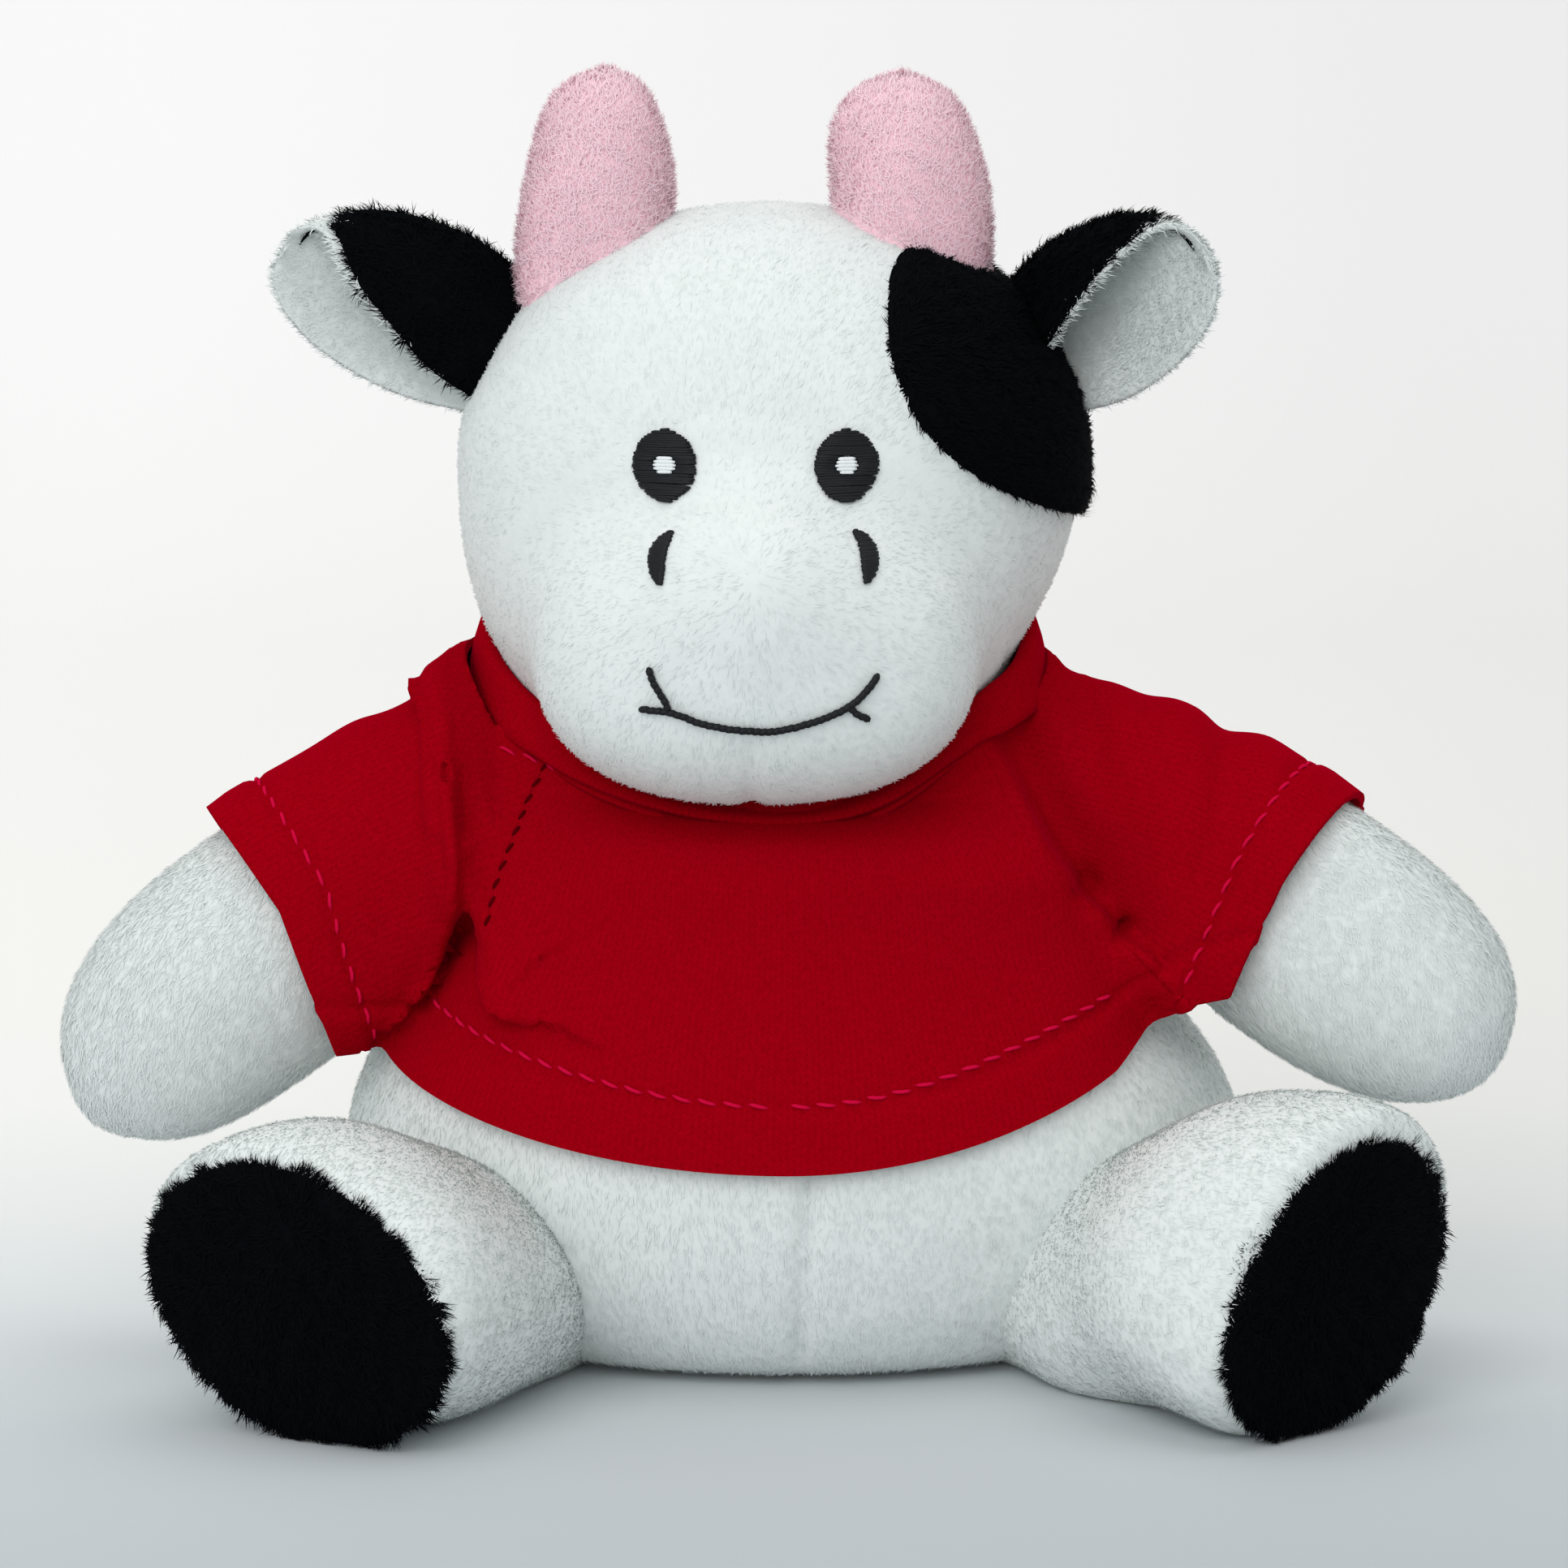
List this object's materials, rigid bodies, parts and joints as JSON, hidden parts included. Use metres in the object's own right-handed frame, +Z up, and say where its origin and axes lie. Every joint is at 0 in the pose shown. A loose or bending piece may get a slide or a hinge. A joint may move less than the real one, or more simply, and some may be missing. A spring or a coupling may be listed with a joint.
{
  "type": "plush cow",
  "caption": "Sitting stuffed toy cow in a T-shirt, with pink horns, folded ears, embroidered face, turning head and springy limbs.",
  "frame": {"origin": "on the floor under the middle of the sitting toy's outer box", "axes": "+Z up, the toy faces -Y, and its left side is +X"},
  "size_m": [0.1699, 0.1193, 0.1488],
  "materials": {
    "white_plush": "short cut pile",
    "black_plush": "short cut pile",
    "pink_plush": "short cut pile",
    "red_jersey": "fine knit",
    "black_thread": "satin thread",
    "white_thread": "satin thread",
    "fibre": "loose fibre",
    "pellet_cloth": "plain weave"
  },
  "bodies": {
    "torso": {"body_cover": "white_plush", "body_stuffing": "fibre", "pellet_pouch": "pellet_cloth", "shirt_front": "red_jersey", "shirt_back": "red_jersey", "shirt_sleeve_left": "red_jersey", "shirt_sleeve_right": "red_jersey", "shirt_collar": "red_jersey"},
    "head": {"head_cover": "white_plush", "head_stuffing": "fibre", "muzzle": "white_plush", "eye_patch": "black_plush", "eye_left": "black_thread", "eye_glint_left": "white_thread", "eye_right": "black_thread", "eye_glint_right": "white_thread", "nostril_left": "black_thread", "nostril_right": "black_thread", "mouth": "black_thread", "horn_left": "pink_plush", "horn_right": "pink_plush"},
    "ear_l": {"ear_back_left": "black_plush", "ear_lining_left": "white_plush"},
    "ear_r": {"ear_back_right": "black_plush", "ear_lining_right": "white_plush"},
    "arm_l": {"arm_left": "white_plush"},
    "arm_r": {"arm_right": "white_plush"},
    "leg_l": {"leg_left": "white_plush", "sole_left": "black_plush"},
    "leg_r": {"leg_right": "white_plush", "sole_right": "black_plush"},
    "tail_body": {"tail": "white_plush", "tail_tuft": "black_plush"}
  },
  "joints": [
    {"name": "head_turn", "type": "hinge", "parent": "torso", "child": "head", "pos_m": [-0.0018, 0.0088, 0.0665], "axis": [0, 0, 1], "range_deg": [-10, 10], "stiffness_Nm_per_rad": 0.1},
    {"name": "ear_flap_left", "type": "hinge", "parent": "head", "child": "ear_l", "pos_m": [0.031, 0.0088, 0.1165], "axis": [0, -1, 0], "range_deg": [-15, 15], "stiffness_Nm_per_rad": 0.003},
    {"name": "ear_flap_right", "type": "hinge", "parent": "head", "child": "ear_r", "pos_m": [-0.0346, 0.0088, 0.1165], "axis": [0, 1, 0], "range_deg": [-15, 15], "stiffness_Nm_per_rad": 0.003},
    {"name": "arm_swing_left", "type": "hinge", "parent": "torso", "child": "arm_l", "pos_m": [0.03247, 0.0068, 0.062], "axis": [0, -1, 0], "range_deg": [-3, 40], "stiffness_Nm_per_rad": 0.06, "deforming": ["shirt_sleeve_left"]},
    {"name": "arm_swing_right", "type": "hinge", "parent": "torso", "child": "arm_r", "pos_m": [-0.03127, 0.0068, 0.062], "axis": [0, 1, 0], "range_deg": [-3, 40], "stiffness_Nm_per_rad": 0.06, "deforming": ["shirt_sleeve_right"]},
    {"name": "leg_swing_left", "type": "hinge", "parent": "torso", "child": "leg_l", "pos_m": [0.0321, -0.0112, 0.01813], "axis": [0, 0, 1], "range_deg": [0, 12], "stiffness_Nm_per_rad": 0.08},
    {"name": "leg_swing_right", "type": "hinge", "parent": "torso", "child": "leg_r", "pos_m": [-0.0309, -0.0112, 0.01664], "axis": [0, 0, -1], "range_deg": [0, 12], "stiffness_Nm_per_rad": 0.08},
    {"name": "tail_swing", "type": "hinge", "parent": "torso", "child": "tail_body", "pos_m": [0.0006, 0.04899, 0.017], "axis": [0, 0, 1], "range_deg": [-20, 20], "stiffness_Nm_per_rad": 0.003}
  ]
}
